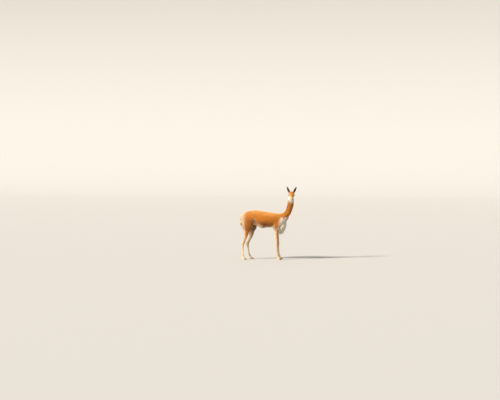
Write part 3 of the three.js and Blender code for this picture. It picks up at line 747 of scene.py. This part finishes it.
def smooth_seam():
    """Softens the fold where the head's skin meets the neck's."""
    bm = bmesh.new()
    bm.from_mesh(skin.data)
    inverse = np.array([v.co[:] for v in bm.verts])
    p = to_forms(inverse)
    near = np.abs((p - THROAT) @ HEAD_UP) < 34
    near &= (p[:, 2] > 1040) & (p[:, 0] > 850)
    picked = [v for v, ok in zip(bm.verts, near) if ok]
    for _ in range(8):
        bmesh.ops.smooth_vert(bm, verts=picked, factor=0.5, use_axis_x=True, use_axis_y=True, use_axis_z=True)
    bmesh.ops.triangulate(bm, faces=[f for f in bm.faces if len(f.verts) > 4])
    bm.to_mesh(skin.data)
    bm.free()


smooth_seam()
FLOOR = float(SHIFT[2])


def flatten_soles():
    spots, _ = mesh_arrays(skin.data)
    spots[:, 2] = np.maximum(spots[:, 2], 0.0005)
    skin.data.vertices.foreach_set("co", spots.astype(np.float32).ravel())
    skin.data.update()


flatten_soles()
skin.data.polygons.foreach_set("use_smooth", np.ones(len(skin.data.polygons), bool))
co, normal = mesh_arrays(skin.data)
skin_place = Place(to_forms(co), normal)
paint(skin.data, marking(skin_place))


# Unwrap of the skin, on which each tuft's patch has its place
def unwrap(obj):
    bpy.context.view_layer.objects.active = obj
    obj.select_set(True)
    bpy.ops.object.mode_set(mode="EDIT")
    bpy.ops.mesh.select_all(action="SELECT")
    bpy.ops.uv.smart_project(angle_limit=math.radians(66), island_margin=0.001)
    bpy.ops.object.mode_set(mode="OBJECT")
    obj.data.uv_layers[0].name = "OFBake"


started = time.time()
unwrap(skin)
print("unwrap", round(time.time() - started, 1))


# Where the coat grows, and how long and dense it is
def coat_length(where):
    x, y, z = where.p.T
    h = where.head * (1 - where.ear)
    hx, hy, hz = where.head_at.T
    trunk = 27 - 3 * smooth(0.3, 0.9, where.n[:, 2]) + 5 * smooth(640, 600, z)
    value = trunk + (16 - trunk) * smooth(0.60, 0.74, where.t)
    leg = 6.5 + 10 * smooth(430, 600, z) - 2 * smooth(90, 40, z)
    value = value + (leg - value) * smooth(650, 560, z)
    value = np.where(where.tail > 0, 26, value)
    face = 4 + 6 * smooth(120, 0, hx) + 3 * smooth(-20, -45, hz) * smooth(120, 60, hx)
    value = value + (face - value) * where.head
    return value + (9 - value) * where.ear


def coat_density(where):
    x, y, z = where.p.T
    hx, hy, hz = where.head_at.T
    value = 1 + 0.8 * smooth(0.6, 0.75, where.t)
    value = value + (1.0 - value) * where.leg
    value = value + (3.2 + 2.2 * smooth(70, 120, hx) - value) * where.head
    value = value + (2.2 - value) * where.ear
    value = np.where((where.lid < 1.6) & (where.head > 0.5), 0, value)
    nose = (hx > 205) | (nostril_distance(where.head_at) < 1.25)
    value = np.where(nose & (where.head > 0.5), 0, value)
    value = np.where(z < 8, 0, value)
    return value


class Roots:
    """Random places on the skin with their normals, patch places and measures."""

    def __init__(self, count, density):
        mesh = skin.data
        mesh.calc_loop_triangles()
        total = len(mesh.loop_triangles)
        verts, loops = np.empty(total * 3, np.int32), np.empty(total * 3, np.int32)
        mesh.loop_triangles.foreach_get("vertices", verts)
        mesh.loop_triangles.foreach_get("loops", loops)
        uv = np.empty(len(mesh.loops) * 2, np.float32)
        mesh.uv_layers["OFBake"].data.foreach_get("uv", uv)
        verts, loops, uv = verts.reshape(-1, 3), loops.reshape(-1, 3), uv.reshape(-1, 2)
        corners = to_forms(co[verts])
        area = np.linalg.norm(np.cross(corners[:, 1] - corners[:, 0], corners[:, 2] - corners[:, 0]), axis=1)
        weight = area * density(Place(corners.mean(axis=1), unit(normal[verts].sum(axis=1))))
        ladder = np.cumsum(weight)
        pick = np.searchsorted(ladder / ladder[-1], (np.arange(count) + rng.random(count)) / count)
        pick = np.minimum(pick, total - 1)
        a, b = rng.random((2, count))
        over = a + b > 1
        a[over], b[over] = 1 - a[over], 1 - b[over]
        share = np.stack([1 - a - b, a, b], axis=1)[:, :, None]
        self.p = (corners[pick] * share).sum(axis=1)
        self.n = unit((normal[verts[pick]] * share).sum(axis=1))
        self.uv = (uv[loops[pick]] * share).sum(axis=1)
        self.where = Place(self.p, self.n)
        self.way = lie(self.where)
        # a tuft may take its colour from a little way off, so that the markings have soft edges
        stray = 1.2 + 7 * (1 - self.where.head) * (1 - 0.6 * self.where.leg)
        astray = Place(self.p + rng.normal(size=self.p.shape) * stray[:, None], self.n)
        self.colour = marking(astray)

    def taken(self, ok):
        part = object.__new__(Roots)
        part.p, part.n, part.uv = self.p[ok], self.n[ok], self.uv[ok]
        part.way, part.colour = self.way[ok], self.colour[ok]
        return part


def roots_at(p, n, way, colour):
    """Roots at chosen places beside the skin, each with the patch place of the nearest skin vertex."""
    loops = len(skin.data.loops)
    corner, uv = np.empty(loops, np.int32), np.empty(loops * 2, np.float32)
    skin.data.loops.foreach_get("vertex_index", corner)
    skin.data.uv_layers["OFBake"].data.foreach_get("uv", uv)
    vertex_uv = np.zeros((len(co), 2))
    vertex_uv[corner] = uv.reshape(-1, 2)
    spots = to_forms(co)
    nearest = [int(np.argmin(((spots - point) ** 2).sum(axis=1))) for point in p]
    made = object.__new__(Roots)
    made.p, made.n, made.way = p, unit(n), unit(way)
    made.uv, made.colour = vertex_uv[nearest], np.tile(colour, (len(p), 1))
    return made


def turned(way, n, angle):
    angle = np.asarray(angle)[:, None]
    return unit(way * np.cos(angle) + np.cross(n, way) * np.sin(angle))


def clump_offsets(p, n, spacing_share):
    """How far each root is from the root of the clump that it belongs to."""
    centres = np.flatnonzero(rng.random(len(p)) < spacing_share)
    tree = KDTree(len(centres))
    for place, index in enumerate(centres):
        tree.insert(p[index], place)
    tree.balance()
    nearest = np.array([centres[tree.find(point)[1]] for point in p])
    away = p - p[nearest]
    return away - n * np.sum(away * n, axis=1)[:, None]


PATCH = 0.0015


def tufts(name, roots, length, width, thick, lift, shares, hang=0.0, pull=0.5, clumps=0.08, curl=0.0,
          swirl=0.25, sink=1.0, shade=(0.8, 1.04)):
    """Closed, tapered, bent three-sided tufts at roots. lift holds the angles off the skin at root and tip."""
    count = len(roots.p)
    n = roots.n
    angle = swirl * (wave(roots.p, 55, 11) + 0.8 * wave(roots.p, 19, 12)) + rng.normal(0, 0.1, count)
    way = turned(roots.way, n, angle)
    away = clump_offsets(roots.p, n, clumps) if pull else 0
    length = length * rng.uniform(0.78, 1.18, count)
    wide = width * rng.uniform(0.75, 1.3, count)
    rise = 1 + 0.3 * wave(roots.p, 24, 13) + rng.normal(0, 0.12, count)
    side = unit(np.cross(way, n))
    phase = rng.uniform(0, 2 * math.pi, count)[:, None]
    here = roots.p - n * sink
    rows, colours = [], []
    last = len(shares) - 1
    tone = rng.uniform(0.9, 1.08, count)[:, None]
    for k, s in enumerate(shares):
        if k:
            middle = (s + shares[k - 1]) / 2
            a = ((lift[0] + (lift[1] - lift[0]) * middle) * rise)[:, None]
            step = unit(way * np.cos(a) + n * np.sin(a) + DOWN * hang * middle)
            here = here + step * (length * (s - shares[k - 1]))[:, None]
        bend = side * (np.sin(phase + s * 7) - np.sin(phase)) * curl * s
        spot = here + bend - away * (pull * s**1.4)
        # painted shade: each tuft is darker at its root, where the tufts shade each other, and a little lighter at its
        # tip
        tint = roots.colour * tone * (shade[0] + (shade[1] - shade[0]) * min(1, s * 1.6))
        if k == last:
            rows.append(spot[:, None])
            colours.append(tint[:, None])
        else:
            size = (0.75 if k == 0 else (1 - s) ** 0.55 * 1.15)
            reach = side * (wide * size / 2)[:, None]
            crest = n * (wide * thick * size)[:, None]
            rows.append(np.stack([spot - reach, spot + reach, spot + crest], axis=1))
            colours.append(np.repeat(tint[:, None], 3, axis=1))
    verts = np.concatenate(rows, axis=1)
    colours = np.concatenate(colours, axis=1)
    per = verts.shape[1]
    lowest = (2.0 if roots.p[:, 2].min() < 60 else 0)
    if lowest:
        verts[:, :, 2] = np.maximum(verts[:, :, 2], FLOOR + 0.6)
    faces = [(0, 1, 2)]
    for k in range(last - 1):
        left, right, top = 3 * k, 3 * k + 1, 3 * k + 2
        for a, b in ((right, top), (top, left), (left, right)):
            faces += [(a, a + 3, b + 3), (a, b + 3, b)]
    left, right, top, tip = 3 * last - 3, 3 * last - 2, 3 * last - 1, 3 * last
    faces += [(right, tip, top), (top, tip, left), (left, tip, right)]
    faces = np.array(faces, np.int32)
    across = np.array([(-PATCH, PATCH, 0)[i % 3] for i in range(per - 1)] + [0])
    upward = np.array([(2 * shares[i // 3] - 1) * PATCH for i in range(per - 1)] + [PATCH])
    patch = np.clip(roots.uv[:, None] + np.stack([across, upward], axis=1)[None], 0, 1)
    made = array_mesh(name, to_frame(verts.reshape(-1, 3)), faces, count, per, patch)
    paint(made.data, np.clip(colours.reshape(-1, 3), 0, 1))
    return made


def array_mesh(name, verts, faces, count, per, patch):
    """A mesh of count copies of one pattern of triangles, per vertices in each."""
    every = (faces[None] + (np.arange(count, dtype=np.int32) * per)[:, None, None]).reshape(-1)
    mesh = bpy.data.meshes.new(name)
    mesh.vertices.add(len(verts))
    mesh.vertices.foreach_set("co", verts.astype(np.float32).ravel())
    mesh.loops.add(len(every))
    mesh.loops.foreach_set("vertex_index", every)
    mesh.polygons.add(len(every) // 3)
    mesh.polygons.foreach_set("loop_start", np.arange(0, len(every), 3, dtype=np.int32))
    mesh.polygons.foreach_set("use_smooth", np.ones(len(every) // 3, bool))
    layer = mesh.uv_layers.new(name="OFBake")
    layer.data.foreach_set("uv", patch.reshape(-1, 2)[every].astype(np.float32).ravel())
    mesh.update(calc_edges=True)
    made = bpy.data.objects.new(name, mesh)
    bpy.context.collection.objects.link(made)
    return made


DENSE = 1.0
FLEECE_COUNT, SHORT_COUNT = int(70000 * DENSE), int(126000 * DENSE)
WIDER = DENSE**-0.5
coat = []


def add_coat(name, slot, roots, *shape, **more):
    made = tufts(name, roots, *shape, **more)
    coat.append((made, slot))
    print(name, len(made.data.polygons))


def short_haired(where):
    return (where.head > 0.5) | ((where.leg > 0.5) & (where.p[:, 2] < 480))


def fleece_density(where):
    return coat_density(where) * ~short_haired(where)


def short_density(where):
    return coat_density(where) * short_haired(where)


# Fleece of the trunk, neck and thighs
roots = Roots(FLEECE_COUNT, fleece_density)
where = roots.where
span = coat_length(where)
thick_leg = where.leg > 0.5
tail_hair = where.tail > 0
neck_hair = (where.t > 0.66) & ~thick_leg & ~tail_hair
trunk_hair = ~(thick_leg | tail_hair | neck_hair)
x, y, z = roots.p.T
regions = {
    "coat_rump": (trunk_hair & (x < 215), "pale_coat"),
    "coat_loin": (trunk_hair & (x >= 215) & (x < 350), "fawn_coat"),
    "coat_flank_right": (trunk_hair & (x >= 350) & (x < 560) & (y < 0), "fawn_coat"),
    "coat_flank_left": (trunk_hair & (x >= 350) & (x < 560) & (y >= 0), "fawn_coat"),
    "coat_shoulders": (trunk_hair & (x >= 560) & (x < 700), "fawn_coat"),
    "coat_chest": (trunk_hair & (x >= 700), "fawn_coat"),
    "coat_neck": (neck_hair, "fawn_coat"),
    "coat_thighs": (thick_leg & (x < 420), "fawn_coat"),
    "coat_forearms": (thick_leg & (x >= 420), "pale_coat"),
    "coat_tail": (tail_hair & ~thick_leg, "fawn_coat"),
}
for name, (ok, slot) in regions.items():
    part = roots.taken(ok)
    long = span[ok]
    wool = smooth(8, 22, long).mean()
    add_coat(name, slot, part, long, (0.7 + 0.11 * long) * WIDER, 0.34, (0.24 + 0.3 * wool, 0.05 + 0.06 * wool),
             (0, 0.45, 1), sink=0.6 + 0.03 * long.mean(), pull=0.25 + 0.3 * wool, hang=0.15 * wool)

# Short hair of the head, ears and lower legs
roots = Roots(SHORT_COUNT, short_density)
where = roots.where
span = coat_length(where)
head_hair = where.head > 0.5
ear_hair = head_hair & (where.ear > 0.4)
face_hair = head_hair & ~ear_hair & (where.head_at[:, 0] > 78)
x = roots.p[:, 0]
regions = {
    "coat_face": (face_hair, "fawn_coat"),
    "coat_crown": (head_hair & ~ear_hair & ~face_hair, "fawn_coat"),
    "coat_ears": (ear_hair, "ear"),
    "coat_hind_legs": (~head_hair & (x < 420), "pale_coat"),
    "coat_fore_legs": (~head_hair & (x >= 420), "pale_coat"),
}
for name, (ok, slot) in regions.items():
    part = roots.taken(ok)
    long = span[ok]
    add_coat(name, slot, part, long, (0.62 + 0.085 * long) * WIDER, 0.34, (0.3, 0.2), (0, 1), sink=0.5, pull=0)


# Long hair of the bib, tail and lower flanks
def bib_density(where):
    return where.bib * smooth(GIRTH - 160, GIRTH + 10, where.p[:, 2] + 0.0)


bib_roots = Roots(int(8000 * DENSE), bib_density)
height = (bib_roots.p[:, 2] - 560) / 250
bib_length = 62 + 60 * np.clip(1 - height, 0, 1) * np.clip(height * 3 + 0.6, 0, 1)
bib_length *= 1 - 0.6 * smooth(0.35, 0.9, bib_roots.n[:, 1])
add_coat("hair_bib", "white_coat", bib_roots, bib_length, 4.0 * WIDER, 0.35, (0.62, 0.1), (0, 0.2, 0.45, 0.72, 1),
         hang=1.1, pull=0.62, clumps=0.09, curl=2.6, swirl=0.2, sink=3, shade=(0.96, 1.06))


def tail_density(where):
    return where.tail * (where.p[:, 2] < 830)


tail_roots = Roots(int(2600 * DENSE), tail_density)
add_coat("hair_tail", "fawn_coat", tail_roots, 46, 3.8 * WIDER, 0.35, (0.42, 0.05), (0, 0.25, 0.6, 1),
         hang=0.9, pull=0.55, clumps=0.1, curl=1.6, swirl=0.15, sink=2)


def fringe_density(where):
    x, y, z = where.p.T
    pale_part = smooth(250, 320, x) * smooth(500, 430, x)
    return (1 - where.head) * pale_part * smooth(640, 615, z) * (z > 560) * smooth(15, 60, np.abs(y))


fringe_roots = Roots(int(2400 * DENSE), fringe_density)
add_coat("hair_fringe", "pale_coat", fringe_roots, 40, 3.6 * WIDER, 0.35, (0.5, 0.2), (0, 0.25, 0.6, 1),
         hang=0.9, pull=0.55, clumps=0.1, curl=1.6, swirl=0.2, sink=2)
print("hair", round(time.time() - started, 1), "triangles", sum(len(c.data.polygons) for c, _ in coat))


# Lashes along the upper lids, and long hair inside the ears
LASHES = 40
for side, eye_name in ((-1, "right"), (1, "left")):
    place = np.array(eye_place(side))
    share = np.linspace(0.12, 0.9, LASHES)
    edge = np.c_[[np.interp(share, np.linspace(0, 1, 24), UPPER_LID[:, k]) for k in (0, 1)]].T
    spots = on_eye(edge + (0, 1.4), EYE_RADIUS + 3.2)
    ways = np.c_[edge[:, 0] * 0.035, np.full(LASHES, 0.9), -0.1 + 0.25 * rng.random(LASHES)]
    lash_roots = roots_at(moved(spots, place), np.tile((0, 0.2, 1.0), (LASHES, 1)) @ place[:3, :3].T,
                          ways @ place[:3, :3].T, LID_TONE)
    add_coat("lashes_" + eye_name, "fawn_coat", lash_roots, 11, 0.7, 0.6, (-0.35, 0.3), (0, 0.4, 0.75, 1),
             pull=0, sink=1.5, swirl=0.05, shade=(0.8, 1.0))


def ear_density(where):
    return where.ear_front * (where.ear > 0.6)


ear_roots = Roots(int(1300 * DENSE), ear_density)
ear_roots.colour = blend(ear_roots.colour, rgb(190, 148, 104), 0.8 * rng.random(len(ear_roots.p)) ** 3)
add_coat("hair_ears", "ear", ear_roots, 12, 0.8 * WIDER, 0.4, (0.6, 0.25), (0, 0.4, 1), pull=0, swirl=0.5)


# Materials
def new_material(name):
    material = bpy.data.materials.new(name)
    material.use_nodes = True
    tree = material.node_tree
    return material, tree.nodes, tree.links, tree.nodes["Principled BSDF"]


def coat_material(name, bump, scale, rough=0.82, sheen=0.1):
    """Colour from the markings, broken up by fine streaks, with bump for the shortest hair."""
    material, nodes, links, shader = new_material(name)
    mark = nodes.new("ShaderNodeAttribute")
    mark.attribute_name = "mark"
    where = nodes.new("ShaderNodeTexCoord")
    grain = nodes.new("ShaderNodeTexNoise")
    grain.inputs["Scale"].default_value = scale
    grain.inputs["Detail"].default_value = 3
    links.new(where.outputs["Object"], grain.inputs["Vector"])
    level = nodes.new("ShaderNodeMapRange")
    level.inputs["To Min"].default_value = 0.82
    level.inputs["To Max"].default_value = 1.16
    links.new(grain.outputs["Fac"], level.inputs["Value"])
    mix = nodes.new("ShaderNodeVectorMath")
    mix.operation = "SCALE"
    links.new(mark.outputs["Color"], mix.inputs[0])
    links.new(level.outputs["Result"], mix.inputs["Scale"])
    links.new(mix.outputs["Vector"], shader.inputs["Base Color"])
    relief = nodes.new("ShaderNodeBump")
    relief.inputs["Strength"].default_value = bump
    relief.inputs["Distance"].default_value = 0.001
    links.new(grain.outputs["Fac"], relief.inputs["Height"])
    links.new(relief.outputs["Normal"], shader.inputs["Normal"])
    shader.inputs["Roughness"].default_value = rough
    shader.inputs["Sheen Weight"].default_value = sheen
    shader.inputs["Specular IOR Level"].default_value = 0.18
    return material


skin_material = coat_material("skin_and_short_hair", 0.55, 900)
fleece = coat_material("fleece", 0.12, 500)
long_hair = coat_material("long_hair", 0.1, 420, 0.7, 0.4)
short_hair = coat_material("short_hair", 0.1, 800, 0.74)


def dress(piece, material):
    piece.data.materials.clear()
    piece.data.materials.append(material)
    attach(piece, "root")


dress(skin, skin_material)
FLESH = ["torso", "chest", "bib", "neck", "head", "ear_right", "ear_left", "tail"]
FLESH += [f"{leg}_{part}" for leg in LEGS for part in ("upper", "lower", "foot")]
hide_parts(*FLESH)
for piece, slot in coat:
    if piece.name.startswith("hair_"):
        dress(piece, long_hair)
    elif piece.name in ("coat_face", "coat_crown", "coat_ears", "coat_hind_legs", "coat_fore_legs"):
        dress(piece, short_hair)
    else:
        dress(piece, fleece)


# Eyes
def eye_material(side):
    material, nodes, links, shader = new_material("eye_dark" + ("_right" if side < 0 else "_left"))
    centre = to_frame(moved(np.array([[EYE[0], side * EYE[1], EYE[2]]]), HEAD_PLACE))[0]
    turn = np.array(HEAD_PLACE)[:3, :3]
    facing = turn @ np.array((math.cos(EYE_FACING), side * math.sin(EYE_FACING), 0))
    upward = turn @ np.array((0, 0, 1))
    across = np.cross(facing, upward)
    spot = nodes.new("ShaderNodeNewGeometry")
    away = nodes.new("ShaderNodeVectorMath")
    away.operation = "SUBTRACT"
    away.inputs[1].default_value = centre
    links.new(spot.outputs["Position"], away.inputs[0])

    def along(axis, scale):
        dot = nodes.new("ShaderNodeVectorMath")
        dot.operation = "DOT_PRODUCT"
        dot.inputs[1].default_value = axis * scale / (EYE_RADIUS * MM)
        links.new(away.outputs["Vector"], dot.inputs[0])
        return dot.outputs["Value"]

    joint = nodes.new("ShaderNodeCombineXYZ")
    links.new(along(across, 1.0), joint.inputs[0])
    links.new(along(upward, 1.7), joint.inputs[1])
    radius = nodes.new("ShaderNodeVectorMath")
    radius.operation = "LENGTH"
    links.new(joint.outputs["Vector"], radius.inputs[0])
    ramp = nodes.new("ShaderNodeValToRGB")
    stops = ramp.color_ramp.elements
    stops[0].position, stops[0].color = 0.36, (0.0008, 0.0006, 0.0006, 1)
    stops[1].position, stops[1].color = 0.46, (0.008, 0.003, 0.0015, 1)
    outer = stops.new(0.8)
    outer.color = (0.004, 0.0016, 0.001, 1)
    links.new(radius.outputs["Value"], ramp.inputs["Fac"])
    links.new(ramp.outputs["Color"], shader.inputs["Base Color"])
    shader.inputs["Roughness"].default_value = 0.05
    shader.inputs["Specular IOR Level"].default_value = 0.25
    return material


for side, eye_name in ((-1, "right"), (1, "left")):
    eye_ball = ball("eyeball_" + eye_name, (EYE[0], side * EYE[1], EYE[2]), EYE_RADIUS, HEAD_PLACE, segments=64)
    eye_ball.data.polygons.foreach_set("use_smooth", np.ones(len(eye_ball.data.polygons), bool))
    dress(eye_ball, eye_material(side))
    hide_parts("eye_" + eye_name)


# Nails
def nail_material():
    material, nodes, links, shader = new_material("nail_horn")
    where = nodes.new("ShaderNodeTexCoord")
    grain = nodes.new("ShaderNodeTexNoise")
    grain.inputs["Scale"].default_value = 260
    grain.inputs["Detail"].default_value = 4
    links.new(where.outputs["Object"], grain.inputs["Vector"])
    ramp = nodes.new("ShaderNodeValToRGB")
    ramp.color_ramp.elements[0].color = (0.012, 0.009, 0.007, 1)
    ramp.color_ramp.elements[1].color = (0.085, 0.06, 0.042, 1)
    links.new(grain.outputs["Fac"], ramp.inputs["Fac"])
    links.new(ramp.outputs["Color"], shader.inputs["Base Color"])
    relief = nodes.new("ShaderNodeBump")
    relief.inputs["Strength"].default_value = 0.4
    relief.inputs["Distance"].default_value = 0.0006
    links.new(grain.outputs["Fac"], relief.inputs["Height"])
    links.new(relief.outputs["Normal"], shader.inputs["Normal"])
    shader.inputs["Roughness"].default_value = 0.45
    return material


horn = nail_material()
for node in list(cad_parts):
    if "_nail_" in node:
        obj = bpy.data.objects[node]
        for slot in obj.material_slots:
            slot.material = horn


# Floor, backdrop, light and camera
def studio():
    mesh = bpy.data.meshes.new("floor")
    wide, front, back, high, curve = 60, -45, 22, 30, 8
    profile = [(front, 0)]
    profile += [(back + curve * math.sin(a), curve * (1 - math.cos(a))) for a in np.linspace(0, math.pi / 2, 16)]
    profile.append((back + curve, high))
    verts = [(side * wide, y, z) for y, z in profile for side in (-1, 1)]
    faces = [(2 * i, 2 * i + 1, 2 * i + 3, 2 * i + 2) for i in range(len(profile) - 1)]
    mesh.from_pydata(verts, [], faces)
    mesh.polygons.foreach_set("use_smooth", np.ones(len(faces), bool))
    floor = bpy.data.objects.new("floor", mesh)
    bpy.context.collection.objects.link(floor)
    material, nodes, links, shader = new_material("floor_paint")
    shader.inputs["Base Color"].default_value = (0.56, 0.55, 0.53, 1)
    shader.inputs["Roughness"].default_value = 0.9
    mesh.materials.append(material)


def sun_light(name, toward, strength, angle, colour):
    data = bpy.data.lights.new(name, "SUN")
    data.energy = strength
    data.angle = math.radians(angle)
    data.color = colour
    lamp = bpy.data.objects.new(name, data)
    lamp.rotation_euler = (-Vector(toward)).to_track_quat("-Z", "Y").to_euler()
    lamp.location = Vector(toward) * 6
    bpy.context.collection.objects.link(lamp)


studio()
world = bpy.data.worlds.new("studio")
world.use_nodes = True
world.node_tree.nodes["Background"].inputs["Color"].default_value = (1.0, 0.97, 0.94, 1)
world.node_tree.nodes["Background"].inputs["Strength"].default_value = 0.48
bpy.context.scene.world = world
bpy.context.scene.view_settings.view_transform = "Standard"
sun_light("key", (-0.78, -0.46, 0.62), 5.2, 10, (1.0, 0.94, 0.84))

# Camera at the photo's distance and angle
LENS, SENSOR = 100, 36
AIM = (183.0, 0.0, 1085.0)
DISTANCE, AZIMUTH, PITCH = 25.4, math.radians(7), math.radians(2.97)
camera_data = bpy.data.cameras.new("camera")
camera_data.lens = LENS
camera_data.sensor_width = SENSOR
camera_data.clip_end = 200
camera = bpy.data.objects.new("camera", camera_data)
aim = to_frame(np.array(AIM) + np.array((0, 0, FLOOR)))
camera.location = aim + DISTANCE * np.array(
    (math.sin(AZIMUTH) * math.cos(PITCH), -math.cos(AZIMUTH) * math.cos(PITCH), math.sin(PITCH))
)
camera.rotation_euler = (Vector(aim) - camera.location).to_track_quat("-Z", "Y").to_euler()
bpy.context.collection.objects.link(camera)
bpy.context.scene.camera = camera
